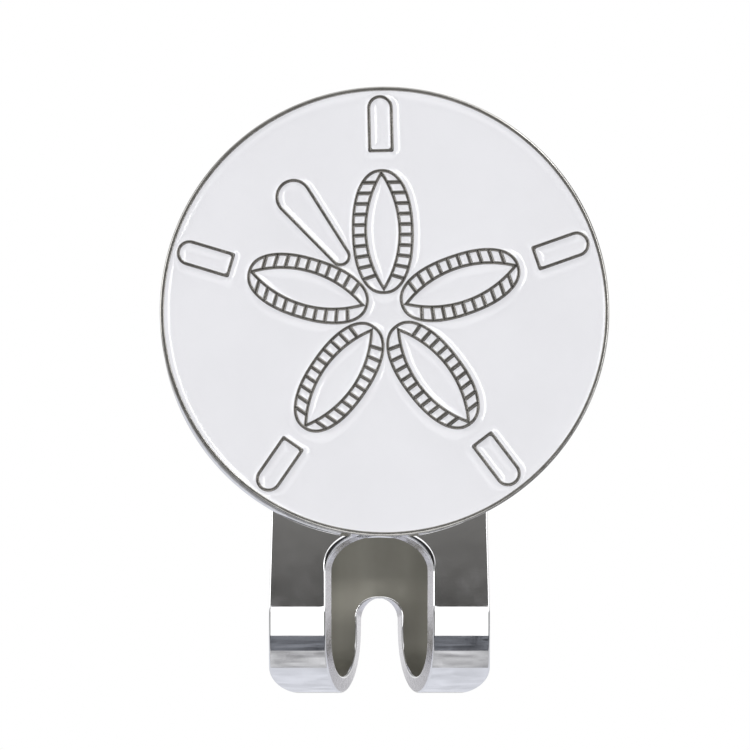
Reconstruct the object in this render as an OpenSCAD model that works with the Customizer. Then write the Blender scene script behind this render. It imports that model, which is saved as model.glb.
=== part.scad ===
// Ball marker for golf: a soft-enamel coin held by a magnet on a sprung hat clip.
// Millimetres, +Z up, the coin faces -Y. The origin is the axis of the clip's bend,
// where the edge of a hat brim comes to rest.

/* [Coin] */
// Diameter of the coin
coin_d = 25; // [24:0.5:27]
// Thickness of the coin over its raised rim
coin_t = 1.8; // [1.5:0.1:2.4]
// Depth of the enamel recesses below the raised lines
recess = 0.5; // [0.3:0.05:0.6]
// How far the enamel stops below the raised lines
enamel_drop = 0.18; // [0.05:0.01:0.25]
// Width of the raised rim
rim_w = 0.24; // [0.2:0.01:0.6]
// Width of the raised lines
line_w = 0.18; // [0.12:0.01:0.24]
// Turn of the coin on its magnet, degrees
coin_turn = 1.3; // [-180:0.1:180]
// Sideways set of the coin from the middle of its seat
coin_side = 0.28; // [-0.5:0.01:0.5]
// Height of the coin's middle over the middle of its seat
coin_lift = 0.5; // [-0.5:0.01:0.6]

/* [Flower] */
// Distance from the coin's middle to the middle of a petal
petal_at = 4.44; // [4.3:0.01:4.8]
// Half width of a petal's outer line
petal_w = 1.64; // [1.5:0.01:1.7]
// Half length of a petal's outer line
petal_h = 3.39; // [3.2:0.01:3.5]
// Half width of the pointed leaf inside a petal
leaf_w = 0.95; // [0.7:0.01:1.1]
// Half length of the pointed leaf inside a petal
leaf_h = 3.22; // [3.1:0.01:3.3]
// Distance between the bars of a petal's border
bar_pitch = 0.585; // [0.55:0.005:0.6]
// Width of the round-ended bays near the rim
bay_w = 1.25; // [1.2:0.05:1.8]
// Radius at which a bay starts
bay_from = 8.94; // [8.6:0.01:9.4]
// Radius at which a bay ends
bay_to = 11.94; // [11.5:0.01:12]
// Turn of the drop from the first petal, degrees
drop_turn = 37.2; // [35:0.1:38]

/* [Clip] */
// Sheet thickness of the clip
sheet = 0.95; // [0.8:0.05:1.2]
// Outer radius of the bend
bend_r = 5.1; // [4.5:0.1:6]
// Height of the seat's middle over the bend's axis
seat_z = 15.95; // [15.2:0.05:17]
// Diameter of the round seat
seat_d = 24.4; // [23.6:0.1:25]
// Height of the seat over the front leg's face
seat_up = 1.2; // [1:0.05:1.6]
// Half width of the front leg
leg_hw = 6.2; // [5.6:0.02:6.6]
// Half width of the back leg
back_hw = 4.2; // [3.8:0.05:4.6]
// Lean of the back leg towards the seat, degrees
back_lean = 20; // [18:0.5:21]
// Straight length of the back leg
back_len = 18.4; // [16:0.1:18.6]
// Half width of the slot through the front leg
slot_hw = 2.83; // [2.6:0.01:3]

/* [Magnet] */
// Diameter of the magnet
magnet_d = 12; // [10:0.5:14]
// Thickness of the magnet
magnet_t = 1.4; // [1.2:0.1:1.5]

/* [Hidden] */
PETALS = 5;

$fn = 96;
eps = 0.01;
petal_pitch = 360 / PETALS;

// Coin: heights are from its flat back, z up out of its face
floor_t = coin_t - recess;
enamel_t = recess - enamel_drop;
coin_gap = 0.05;            // between the coin's back and the seat
half_line = line_w / 2;
petal_squareness = 2.25;    // 2 is an ellipse
petal_points = 60;
bars = 10;                  // bars down each side of a petal
bar_tilt = 0.7;             // the inner bars lean this share of the way to square with the outline
bar_reach = 1;              // half length of a bar before the border trims it
bars_shift = 0.1;           // the row of bars sits a little outward of the petal's middle
leaf_shift = 0.05;
bay_corner = 0.12;
drop_r_in = 0.48;
drop_r_out = 0.93;
drop_from = 3.93;
drop_to = 8.12;
small_fn = 48;

// Clip: s is the distance along the middle of the sheet, from the start of the bend
mid_r = bend_r - sheet / 2;
arc_len = mid_r * PI / 180; // length of one degree of the bend
bend_end = (180 + back_lean) * arc_len;
flare_r = 3.4;              // middle radius of the tip's outward flare
flare_deg = 55;
flare_at = bend_end + back_len;
strip_end = flare_at + flare_deg * flare_r * PI / 180;
strip_start = -8;           // inside the seat
strip_step = 0.45;          // between the sections of the sheet
split_s = 90 * arc_len;     // the two halves meet under the bend's axis
split_gap = 0.02;
leg_top_hw = 6.06;
leg_top_s = 4.7;            // the leg is down to its top width this far over the bend
leg_narrow_from = 3.6;
leg_narrow_to = 8.6;
tip_round = 3.2;
slot_arch_s = -1.9;         // the arch springs from here
slot_arch_h = 2.1;
slot_narrow_from = 2;       // the slot narrows between these
slot_narrow_to = 12.7;
slot_end_s = 14.65;
slot_rows = 24;             // sections down the slot's sides
slot_end_r = 1.15;
slot_flare = 0.2;           // the slot opens towards the front by this much on each face
slot_flare_turn = 150;      // and the other way at the back, as the sheet turns over
cutter_in = 0.7;            // the slot's cutter reaches this far inside the sheet's middle
cutter_out = 1.8;           // and this far outside it, so that it notches the seat's edge too
seat_edge = 0.4;
seat_back_y = -bend_r + sheet;
seat_front_y = -bend_r - seat_up;
glue_t = 0.1;
magnet_sink = 0.05;
magnet_fit = 0.05;
pocket_depth = magnet_t + glue_t + magnet_sink;

function clamp01(u) = min(1, max(0, u));
function ease(u) = let (v = clamp01(u)) v * v * (3 - 2 * v);

// Middle of the sheet at s: [y, z, direction of the outer face's normal]
function on_bend(deg) = [-mid_r * cos(deg), -mid_r * sin(deg), 180 + deg];
function on_leg(t) =
    [mid_r * cos(back_lean) - t * sin(back_lean), mid_r * sin(back_lean) + t * cos(back_lean), back_lean];
function on_flare(deg) =
    let (p = on_leg(back_len), a = back_lean)
    [p[0] + flare_r * (cos(a) - cos(a - deg)), p[1] + flare_r * (sin(a) - sin(a - deg)), a - deg];
function sheet_at(s) =
    s < 0 ? [-mid_r, -s, 180]
    : s < bend_end ? on_bend(s / arc_len)
    : s < flare_at ? on_leg(s - bend_end)
    : on_flare((s - flare_at) / flare_r * 180 / PI);
function sheet_point(s, x, out) = let (m = sheet_at(s)) [x, m[0] + out * cos(m[2]), m[1] + out * sin(m[2])];

// Half width of the strip at s, with a rounded tip
function strip_hw(s) =
    s < 0 ? leg_hw + (leg_top_hw - leg_hw) * min(1, -s / leg_top_s)
    : s < strip_end - tip_round
        ? leg_hw + (back_hw - leg_hw) * ease((s - leg_narrow_from) / (leg_narrow_to - leg_narrow_from))
    : back_hw * sqrt(max(0.01, 1 - pow((s - strip_end + tip_round) / tip_round, 2)));

// A closed bar swept along the sheet, from in_w inside its middle to out_w outside it;
// rows are [s and half width on the inner side, s and half width on the outer side]
module swept(rows, in_w, out_w) {
    n = len(rows);
    points = [for (r = rows) each [
        sheet_point(r[0], -r[1], -in_w), sheet_point(r[0], r[1], -in_w),
        sheet_point(r[2], r[3], out_w), sheet_point(r[2], -r[3], out_w)]];
    sides = [for (i = [0:n - 2], j = [0:3]) let (k = (j + 1) % 4)
        each [[4 * i + j, 4 * i + 4 + j, 4 * i + 4 + k], [4 * i + j, 4 * i + 4 + k, 4 * i + k]]];
    first = [[0, 1, 2], [0, 2, 3]];
    last = [for (f = [[2, 1, 0], [3, 2, 0]]) [for (v = f) 4 * (n - 1) + v]];
    polyhedron(points, concat(sides, first, last), convexity = 6);
}

module strip(from_s, to_s) {
    n = ceil((to_s - from_s) / strip_step);
    swept([for (i = [0:n]) let (s = from_s + (to_s - from_s) * i / n, w = strip_hw(s)) [s, w, s, w]],
        sheet / 2, sheet / 2);
}

// The slot opens towards the front: it is wider on the outer face of the front leg,
// and on the inner face at the back
function slot_flare_at(s) = slot_flare * cos(slot_flare_turn * clamp01(s / slot_end_s)) / (sheet / 2);
function slot_row(s, hw) =
    let (f = slot_flare_at(s) * min(1, hw)) [s, hw - f * cutter_in, s, hw + f * cutter_out];
function arch_row(a, w) = [slot_arch_s - (slot_arch_h + w) * sin(a), (slot_hw + w) * cos(a)];
function slot_side(s) =
    slot_hw + (slot_end_r - slot_hw) * ease((s - slot_narrow_from) / (slot_narrow_to - slot_narrow_from));

module slot() {
    f = slot_flare_at(0);
    arch = [for (a = [85:-10:5]) concat(arch_row(a, -f * cutter_in), arch_row(a, f * cutter_out))];
    sides_end = slot_end_s - slot_end_r;
    sides = [for (i = [0:slot_rows]) let (s = slot_arch_s + (sides_end - slot_arch_s) * i / slot_rows)
        slot_row(s, slot_side(s))];
    end = [for (a = [10:12.5:85]) slot_row(sides_end + slot_end_r * sin(a), slot_side(sides_end) * cos(a))];
    swept(concat(arch, sides, end), cutter_in, cutter_out);
}

// Round pieces that face the front: local z points to -Y
module facing(y, x = 0, z = 0, turn = 0) {
    translate([x, y, z]) rotate([90, 0, 0]) rotate([0, 0, turn]) children();
}

module seat() {
    h = seat_back_y - seat_front_y;
    r = seat_d / 2;
    facing(seat_back_y, z = seat_z) rotate_extrude() {
        square([r - seat_edge, h]);
        square([r, h - seat_edge]);
        translate([r - seat_edge, h - seat_edge]) circle(seat_edge, $fn = small_fn);
    }
}

module magnet_pocket() {
    facing(seat_front_y + pocket_depth, z = seat_z)
        cylinder(h = 2 * pocket_depth, d = magnet_d + 2 * magnet_fit);
}

module clip_front() {
    color([0.78, 0.78, 0.79]) difference() {
        union() {
            strip(strip_start, split_s - split_gap / 2);
            seat();
        }
        slot();
        magnet_pocket();
    }
}

module clip_back() {
    color([0.78, 0.78, 0.79]) difference() {
        strip(split_s + split_gap / 2, strip_end);
        slot();
    }
}

module magnet() {
    color([0.62, 0.62, 0.63]) facing(seat_front_y + magnet_sink + magnet_t, z = seat_z)
        cylinder(h = magnet_t, d = magnet_d);
}

module magnet_glue() {
    color([0.85, 0.8, 0.6]) facing(seat_front_y + pocket_depth, z = seat_z)
        cylinder(h = glue_t, d = magnet_d);
}

// Outlines of the coin's design, in the plane of its face; grow moves an outline outwards
module on_ray(i) {
    rotate([0, 0, petal_pitch * (i - 1)]) children();
}

module petal2d(grow) {
    a = petal_w + grow;
    b = petal_h + grow;
    e = 2 / petal_squareness;
    translate([0, petal_at]) polygon([for (i = [0:petal_points - 1]) let (t = 360 * (i + 0.5) / petal_points)
        [a * sign(cos(t)) * pow(abs(cos(t)), e), b * sign(sin(t)) * pow(abs(sin(t)), e)]]);
}

module leaf2d(grow) {
    r = (leaf_w * leaf_w + leaf_h * leaf_h) / (2 * leaf_w);
    translate([0, petal_at + leaf_shift]) intersection() {
        translate([r - leaf_w, 0]) circle(r + grow);
        translate([leaf_w - r, 0]) circle(r + grow);
    }
}

module bars2d() {
    mid_w = (petal_w + leaf_w) / 2;
    for (side = [-1, 1], k = [0:bars - 1]) {
        v = (k - (bars - 1) / 2) * bar_pitch;
        sine = v / petal_h;
        u = mid_w * sqrt(1 - sine * sine);
        tilt = v < 0 ? bar_tilt * atan(mid_w * sine / (petal_h * sqrt(1 - sine * sine))) : 0;
        translate([side * u, petal_at + bars_shift + v]) rotate([0, 0, side * tilt])
            square([2 * bar_reach, line_w], center = true);
    }
}

module border_cells2d() {
    difference() {
        petal2d(-half_line);
        leaf2d(half_line);
        bars2d();
    }
}

module bay2d(grow) {
    r = bay_w / 2 + grow;
    low = bay_from - grow;
    difference() {
        union() {
            translate([-r, low]) square([2 * r, bay_to - bay_w / 2 - low]);
            translate([0, bay_to - bay_w / 2]) circle(r, $fn = small_fn);
        }
        for (side = [-1, 1]) translate([side * r, low]) rotate([0, 0, 45])
            square(bay_corner * sqrt(2), center = true);
    }
}

module drop2d(grow) {
    tilt = asin((drop_r_out - drop_r_in) / (drop_to - drop_from));
    a = drop_r_in + grow;
    b = drop_r_out + grow;
    rotate([0, 0, drop_turn]) {
        translate([0, drop_from]) circle(a, $fn = small_fn);
        translate([0, drop_to]) circle(b, $fn = small_fn);
        polygon([
            [-a * cos(tilt), drop_from - a * sin(tilt)], [a * cos(tilt), drop_from - a * sin(tilt)],
            [b * cos(tilt), drop_to - b * sin(tilt)], [-b * cos(tilt), drop_to - b * sin(tilt)]]);
    }
}

module on_coin(z) {
    facing(seat_front_y - coin_gap, coin_side, seat_z + coin_lift, coin_turn) translate([0, 0, z]) children();
}

module coin_blank() {
    r = coin_d / 2;
    color([0.75, 0.75, 0.76]) on_coin(0) {
        cylinder(h = floor_t, r = r);
        translate([0, 0, floor_t - eps]) linear_extrude(recess + eps) {
            difference() {
                circle(r);
                circle(r - rim_w);
            }
            for (i = [1:PETALS]) on_ray(i) {
                difference() {
                    petal2d(half_line);
                    leaf2d(-half_line);
                    border_cells2d();
                }
                difference() {
                    bay2d(half_line);
                    bay2d(-half_line);
                }
            }
            difference() {
                drop2d(half_line);
                drop2d(-half_line);
            }
        }
    }
}

module enamel() {
    color([0.93, 0.93, 0.95]) on_coin(floor_t) linear_extrude(enamel_t) children();
}

module enamel_field() {
    enamel() difference() {
        circle(coin_d / 2 - rim_w);
        for (i = [1:PETALS]) on_ray(i) {
            petal2d(half_line);
            bay2d(half_line);
        }
        drop2d(half_line);
    }
}

module enamel_drop_cell() { enamel() drop2d(-half_line); }
module enamel_leaf(i) { enamel() on_ray(i) leaf2d(-half_line); }
module enamel_border(i) { enamel() on_ray(i) border_cells2d(); }
module enamel_bay(i) { enamel() on_ray(i) bay2d(-half_line); }

clip_front();
clip_back();
magnet();
magnet_glue();
coin_blank();
enamel_field();
enamel_drop_cell();
for (i = [1:PETALS]) {
    enamel_leaf(i);
    enamel_border(i);
    enamel_bay(i);
}
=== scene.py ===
"""A golf ball marker: a soft-enamel coin on the magnet of a sprung chrome hat clip."""
import math

import bmesh
import bpy
import numpy as np
from bpy.props import FloatProperty, FloatVectorProperty, IntProperty, PointerProperty
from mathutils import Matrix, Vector, kdtree
from mathutils.geometry import delaunay_2d_cdt


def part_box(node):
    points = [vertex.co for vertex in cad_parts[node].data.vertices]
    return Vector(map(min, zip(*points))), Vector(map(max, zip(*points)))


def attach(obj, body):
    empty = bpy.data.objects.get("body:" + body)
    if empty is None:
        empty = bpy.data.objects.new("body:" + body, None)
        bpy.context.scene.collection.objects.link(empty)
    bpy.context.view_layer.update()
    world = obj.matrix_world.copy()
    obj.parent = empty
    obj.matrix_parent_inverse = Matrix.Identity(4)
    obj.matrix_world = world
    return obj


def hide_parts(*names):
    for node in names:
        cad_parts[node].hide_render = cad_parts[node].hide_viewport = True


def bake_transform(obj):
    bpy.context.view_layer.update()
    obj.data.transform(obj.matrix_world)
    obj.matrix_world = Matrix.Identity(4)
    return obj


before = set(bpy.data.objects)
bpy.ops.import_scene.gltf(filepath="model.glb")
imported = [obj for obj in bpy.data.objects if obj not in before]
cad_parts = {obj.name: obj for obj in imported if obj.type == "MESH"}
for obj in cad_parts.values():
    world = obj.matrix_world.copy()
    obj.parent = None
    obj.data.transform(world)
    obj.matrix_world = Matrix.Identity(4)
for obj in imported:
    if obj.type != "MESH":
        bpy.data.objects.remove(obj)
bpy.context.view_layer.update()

bl_info = {
    "name": "Ball Marker",
    "version": (1, 0, 0),
    "blender": (4, 5, 0),
    "location": "View3D > Sidebar > Ball Marker",
    "description": "Builds a soft-enamel golf ball marker on its magnetic hat clip",
    "category": "Add Mesh",
}

MM = 0.001
FULL_TURN = 2 * math.pi

# Places and main sizes come from the frame
COIN_LOW, COIN_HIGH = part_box("coin_blank")
FRONT_LOW, FRONT_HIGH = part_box("clip_front")
MAGNET_LOW, MAGNET_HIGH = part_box("magnet")
GLUE_LOW, GLUE_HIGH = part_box("magnet_glue")
ENAMEL_LOW, ENAMEL_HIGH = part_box("enamel_field")

COIN_RADIUS = (COIN_HIGH.x - COIN_LOW.x) / 2
COIN_THICKNESS = COIN_HIGH.y - COIN_LOW.y
COIN_CENTRE = Vector(((COIN_LOW.x + COIN_HIGH.x) / 2, COIN_HIGH.y, (COIN_LOW.z + COIN_HIGH.z) / 2))
COIN_FLOOR = COIN_HIGH.y - ENAMEL_HIGH.y
ENAMEL_LEVEL = COIN_HIGH.y - ENAMEL_LOW.y
RIM_WIDTH = COIN_RADIUS - (ENAMEL_HIGH.x - ENAMEL_LOW.x) / 2
BEND_RADIUS = -FRONT_LOW.z
SEAT_RADIUS = (FRONT_HIGH.x - FRONT_LOW.x) / 2
SEAT_CENTRE_Z = FRONT_HIGH.z - SEAT_RADIUS
SEAT_FRONT_Y = FRONT_LOW.y
MAGNET_RADIUS = (MAGNET_HIGH.x - MAGNET_LOW.x) / 2
PETALS = 5


# ---------------------------------------------------------------- settings

# Each of these makes one setting of its kind
def length(name, text, value):
    return FloatProperty(name=name, description=text, default=value, unit="LENGTH", precision=5)


def angle(name, text, degrees):
    return FloatProperty(name=name, description=text, default=math.radians(degrees), subtype="ANGLE")


def number(name, text, value):
    return FloatProperty(name=name, description=text, default=value, precision=3)


def colour(name, text, red, green, blue):
    return FloatVectorProperty(
        name=name, description=text, default=(red, green, blue), size=3, min=0.0, max=1.0, subtype="COLOR")


class ClipSettings(bpy.types.PropertyGroup):
    """Sizes of the bent sheet, its slot and its seat"""

    sheet: length("Sheet", "Thickness of the sheet", 0.95 * MM)
    leg_half_width: length("Front leg", "Half width of the front leg at the bend", 6.2 * MM)
    leg_top_half_width: length("Front leg's top", "Half width of the front leg at the seat", 6.06 * MM)
    back_half_width: length("Back leg", "Half width of the back leg", 4.2 * MM)
    back_lean: angle("Lean", "Lean of the back leg towards the seat", 20)
    back_length: length("Back leg's run", "Straight length of the back leg", 18.4 * MM)
    flare_radius: length("Flare", "Middle radius of the tip's outward flare", 3.4 * MM)
    flare_turn: angle("Flare's turn", "How far the tip turns outwards", 55)
    tip_round: length("Tip", "Length of the rounded tip", 3.2 * MM)
    slot_half_width: length("Slot", "Half width of the slot through the front leg", 2.83 * MM)
    slot_flare: length("Slot's flare", "How far each face of the sheet opens around the slot", 0.2 * MM)
    outer_edge: length("Outer edge", "Rounding of the sheet's outer edges", 0.1 * MM)
    slot_edge: length("Slot's edge", "Rounding of the slot's edges", 0.13 * MM)
    slot_roll: length("Slot's shoulders", "Extra rounding of the lip at the arch's shoulders", 0.33 * MM)
    seat_edge: length("Seat's edge", "Rounding of the seat's front edge", 0.4 * MM)


class CoinSettings(bpy.types.PropertyGroup):
    """Sizes of the struck design and of the enamel in it"""

    turn: angle("Turn", "Turn of the coin on its magnet", 1.3)
    line_width: length("Line", "Width of the raised lines", 0.18 * MM)
    petal_at: length("Petal's place", "Distance from the middle to a petal's middle", 4.44 * MM)
    petal_half_width: length("Petal's width", "Half width of a petal", 1.64 * MM)
    petal_half_length: length("Petal's length", "Half length of a petal", 3.39 * MM)
    petal_power: number("Petal's shape", "Power of the petal's outline; 2 is an ellipse", 2.25)
    leaf_half_width: length("Leaf's width", "Half width of the pointed leaf", 0.95 * MM)
    leaf_half_length: length("Leaf's length", "Half length of the pointed leaf", 3.22 * MM)
    bars: IntProperty(name="Bars", description="Bars down each side of a petal", default=10, min=2, max=16)
    bar_pitch: length("Bar pitch", "Distance between the bars", 0.585 * MM)
    bar_width: length("Bar", "Width of the bars", 0.23 * MM)
    bay_width: length("Bay", "Width of the round-ended bays", 1.25 * MM)
    bay_from: length("Bay's start", "Radius at which a bay starts", 8.94 * MM)
    bay_to: length("Bay's end", "Radius at which a bay ends", 11.94 * MM)
    drop_turn: angle("Drop", "Turn of the drop from the first petal", 37.2)
    rise: length("Meniscus", "How high the enamel climbs against the metal", 0.14 * MM)
    reach: length("Meniscus reach", "How far from the metal the climb fades", 0.27 * MM)


class FinishSettings(bpy.types.PropertyGroup):
    """Colours of the finishes"""

    chrome: colour("Chrome", "Colour of the clip's polished plating", 0.79, 0.79, 0.8)
    # The inside's dark olive is painted shade of the inside of the bend
    inside: colour("Inside", "Colour of the clip's unbuffed inner face", 0.33, 0.32, 0.28)
    edge: colour("Edge", "Colour of the slot's plated edge", 0.66, 0.65, 0.68)
    # The lines' dark grey is a painted dark reflection of the studio, not the nickel's own colour
    nickel: colour("Lines", "Colour of the coin's raised lines", 0.25, 0.24, 0.225)
    rim: colour("Rim", "Colour of the coin's polished blank and rim", 0.5, 0.49, 0.47)
    enamel: colour("Enamel", "Colour of the hard glossy enamel", 0.84, 0.84, 0.87)
    plating: colour("Magnet", "Colour of the magnet's plating", 0.55, 0.55, 0.56)
    glue: colour("Glue", "Colour of the set glue", 0.55, 0.4, 0.16)


class StageSettings(bpy.types.PropertyGroup):
    """The studio around the marker"""

    view_distance: length("Camera distance", "From the coin's face to the camera", 0.4)
    view_width: length("View's width", "Width that the camera sees at the coin's face", 41.67 * MM)
    view_x: length("View's middle", "Sideways place of the view's middle", -0.25 * MM)
    view_z: length("View's height", "Height of the view's middle", 12.92 * MM)
    floor_drop: length("Floor", "Depth of the floor under the clip", 0.15)
    sky: number("Tent", "Brightness of the white tent around the marker", 1.0)


# ---------------------------------------------------------------- finishes

NOISE_LOW, NOISE_HIGH = 0.3, 0.7        # most of a noise lies between these
MIX_FIRST, MIX_SECOND, MIX_RESULT = 6, 7, 2     # the mix node's colour sockets


class Finish:
    """A material's node tree, with short calls for the nodes that the finishes share."""

    def __init__(self, name):
        self.material = bpy.data.materials.new(name)
        self.material.use_nodes = True
        self.tree = self.material.node_tree
        self.shader = self.tree.nodes["Principled BSDF"]
        self.place = self.add("ShaderNodeTexCoord").outputs["Object"]

    def add(self, kind, **settings):
        node = self.tree.nodes.new(kind)
        for key, value in settings.items():
            setattr(node, key, value)
        return node

    def link(self, output, target):
        self.tree.links.new(output, target)

    def set(self, **values):
        """Values of the shader's own sockets, named with underscores for spaces."""
        for key, value in values.items():
            self.shader.inputs[key.replace("_", " ")].default_value = value

    def stretched(self, scale, turn=(0, 0, 0)):
        """The piece's own axes, stretched and turned, for a noise with a grain."""
        mapping = self.add("ShaderNodeMapping")
        mapping.inputs["Scale"].default_value = scale
        mapping.inputs["Rotation"].default_value = turn
        self.link(self.place, mapping.inputs["Vector"])
        return mapping.outputs["Vector"]

    def noise(self, scale, detail=3.0, roughness=0.55, where=None, distortion=0.0):
        """A noise over the piece's own axes."""
        texture = self.add("ShaderNodeTexNoise")
        texture.inputs["Scale"].default_value = scale
        texture.inputs["Detail"].default_value = detail
        texture.inputs["Roughness"].default_value = roughness
        texture.inputs["Distortion"].default_value = distortion
        self.link(where or self.place, texture.inputs["Vector"])
        return texture.outputs["Fac"]

    def spread(self, value, low, high, to_low, to_high):
        """A value moved from one range to another."""
        ramp = self.add("ShaderNodeMapRange")
        for socket, amount in (
                ("From Min", low), ("From Max", high), ("To Min", to_low), ("To Max", to_high)):
            ramp.inputs[socket].default_value = amount
        self.link(value, ramp.inputs["Value"])
        return ramp.outputs["Result"]

    def over(self, noise, low=0.0, high=1.0):
        """A noise, spread from one value to another."""
        return self.spread(noise, NOISE_LOW, NOISE_HIGH, low, high)

    def tint(self, value, low, high):
        """Base colour between two colours, as value goes from 0 to 1."""
        mix = self.add("ShaderNodeMix", data_type="RGBA")
        mix.inputs[MIX_FIRST].default_value = (*low, 1)
        mix.inputs[MIX_SECOND].default_value = (*high, 1)
        self.link(value, mix.inputs["Factor"])
        self.link(mix.outputs[MIX_RESULT], self.shader.inputs["Base Color"])

    def rough(self, value):
        self.link(value, self.shader.inputs["Roughness"])

    def bump(self, value, height, after=None):
        """Relief of a height, on top of another one if there is one."""
        node = self.add("ShaderNodeBump")
        node.inputs["Strength"].default_value = 1.0
        node.inputs["Distance"].default_value = height
        self.link(value, node.inputs["Height"])
        if after:
            self.link(after, node.inputs["Normal"])
        self.link(node.outputs["Normal"], self.shader.inputs["Normal"])
        return node.outputs["Normal"]


def shade(rgb, amount):
    """A colour made darker or lighter."""
    return tuple(min(1.0, channel * amount) for channel in rgb)


def chrome_finish(rgb):
    """Bright plating over polished steel: faint waves, fine polishing lines and a little haze."""
    f = Finish("clip chrome")
    f.set(Metallic=1.0)
    haze = f.noise(420, 4)
    f.tint(f.over(haze), shade(rgb, 0.95), shade(rgb, 1.02))
    lines = f.noise(1500, 2, where=f.stretched((3, 0.3, 0.3)))
    f.rough(f.over(f.noise(900, 3), 0.03, 0.08))
    waves = f.bump(f.noise(330, 2), 0.004 * MM)
    f.bump(lines, 0.0002 * MM, after=waves)
    return f.material


def inside_finish(rgb):
    """The inner face of the clip: drawn along the sheet and never buffed, in a dark olive colour that is
    painted shade of the inside of the bend.
    """
    f = Finish("clip inside")
    f.set(Metallic=1.0)
    drawn = f.noise(330, 2, where=f.stretched((1.6, 0.1, 0.1)))
    # The colour's darkness is painted shade; the drawn streaks are the grain of the finish
    f.tint(f.over(drawn), shade(rgb, 0.88), shade(rgb, 1.12))
    f.rough(f.over(f.noise(700, 3), 0.44, 0.54))
    f.bump(drawn, 0.002 * MM)
    return f.material


def edge_finish(rgb):
    """The slot's punched edge: plated over the torn grain of the punch."""
    f = Finish("clip edge")
    f.set(Metallic=1.0)
    torn = f.noise(2600, 4, 0.7)
    f.tint(f.over(torn), shade(rgb, 0.86), shade(rgb, 1.12))
    f.rough(f.over(torn, 0.2, 0.34))
    f.bump(torn, 0.012 * MM)
    return f.material


def rim_finish(rgb):
    """The coin's blank and rim: plated and polished, with fine rubbed scratches."""
    f = Finish("coin rim")
    f.set(Metallic=1.0)
    rubbed = f.noise(1400, 4, 0.65)
    f.tint(f.over(rubbed), shade(rgb, 0.85), shade(rgb, 1.1))
    f.rough(f.over(f.noise(2600, 3), 0.1, 0.2))
    f.bump(rubbed, 0.003 * MM)
    return f.material


def nickel_finish(rgb):
    """The raised lines: satin nickel, coloured dark as a painted reflection of the dark studio that they
    mirror, with darker tarnish in patches.
    """
    f = Finish("coin nickel")
    f.set(Metallic=1.0)
    tarnish = f.noise(700, 5, 0.65)
    f.tint(f.over(tarnish), shade(rgb, 0.82), shade(rgb, 1.08))
    f.rough(f.over(f.noise(2600, 3), 0.16, 0.3))
    f.bump(f.noise(5200, 3), 0.002 * MM)
    return f.material


def enamel_finish(rgb):
    """Poured enamel: glossy, faintly uneven in level and colour, with a few dust specks."""
    f = Finish("white enamel")
    f.set(Coat_Weight=0.5, Coat_Roughness=0.03, IOR=1.5)
    cloud = f.noise(160, 4, 0.6)
    f.tint(f.over(cloud), shade(rgb, 0.975), shade(rgb, 1.01))
    f.rough(f.over(f.noise(1800, 2), 0.1, 0.17))
    level = f.bump(f.noise(230, 2), 0.012 * MM)
    specks = f.spread(f.noise(3400, 1), 0.72, 0.8, 0, 1)
    f.bump(specks, 0.004 * MM, after=level)
    return f.material


def plating_finish(rgb):
    """The magnet's plating: ground flat in one direction, then nickel plated."""
    f = Finish("magnet plating")
    f.set(Metallic=1.0)
    grind = f.noise(1500, 3, where=f.stretched((0.06, 1, 1), (0, 0.4, 0)))
    f.tint(f.noise(300, 4), shade(rgb, 0.85), shade(rgb, 1.1))
    f.rough(f.over(grind, 0.2, 0.36))
    f.bump(grind, 0.0025 * MM)
    return f.material


def glue_finish(rgb):
    """Set glue: clear amber with small bubbles."""
    f = Finish("clear glue")
    f.set(Transmission_Weight=0.4, IOR=1.5)
    bubbles = f.noise(2400, 3)
    f.tint(bubbles, shade(rgb, 0.8), shade(rgb, 1.15))
    f.rough(f.over(bubbles, 0.1, 0.3))
    f.bump(bubbles, 0.01 * MM)
    return f.material


FINISHES = {
    "clip_chrome": (chrome_finish, "chrome"),
    "clip_inside": (inside_finish, "inside"),
    "clip_edge": (edge_finish, "edge"),
    "coin_rim": (rim_finish, "rim"),
    "coin_nickel": (nickel_finish, "nickel"),
    "white_enamel": (enamel_finish, "enamel"),
    "magnet_plating": (plating_finish, "plating"),
    "clear_glue": (glue_finish, "glue"),
}
made_finishes = {}              # the materials by slot


def finish_for(slot):
    """The material of a slot, made once in the colour that the settings hold."""
    if slot not in made_finishes:
        make, setting = FINISHES[slot]
        made_finishes[slot] = make(tuple(getattr(bpy.context.scene.marker_finish, setting)))
    return made_finishes[slot]


# ---------------------------------------------------------------- mesh helpers

CDT_NEAREST = 1e-6              # the triangulation joins points closer than this, in millimetres
AXIS_NEAREST = 1e-9             # a profile's point this near its axis is on it
ROW_SPACING = 0.866             # between a lattice's staggered rows, per step along them


def mesh_object(name, verts, faces):
    """A new mesh object in the scene."""
    mesh = bpy.data.meshes.new(name)
    mesh.from_pydata([tuple(v) for v in verts], [], [tuple(f) for f in faces])
    made = bpy.data.objects.new(name, mesh)
    bpy.context.scene.collection.objects.link(made)
    return made


def new_piece(name, verts, faces, slot, nodes, normals=None, sharp=None, more=()):
    """A mesh piece in the frame's place, with its finish and the CAD nodes that it stands for.
    more is a list of other finishes, each with the range of faces that has it."""
    piece = mesh_object(name, verts, faces)
    mesh = piece.data
    if mesh.validate():
        raise RuntimeError(f"{name} has faces that a mesh can't hold")
    mesh.shade_smooth()
    if sharp is not None:
        mesh.set_sharp_from_angle(angle=sharp)
    if normals is not None:
        mesh.normals_split_custom_set_from_vertices([tuple(n) for n in normals])
    mesh.materials.append(finish_for(slot))
    slots = np.zeros(len(faces), int)
    for k, (finish, first, last) in enumerate(more):
        mesh.materials.append(finish_for(finish))
        slots[first:last] = k + 1
    mesh.polygons.foreach_set("material_index", slots)
    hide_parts(*nodes)
    return piece


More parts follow.
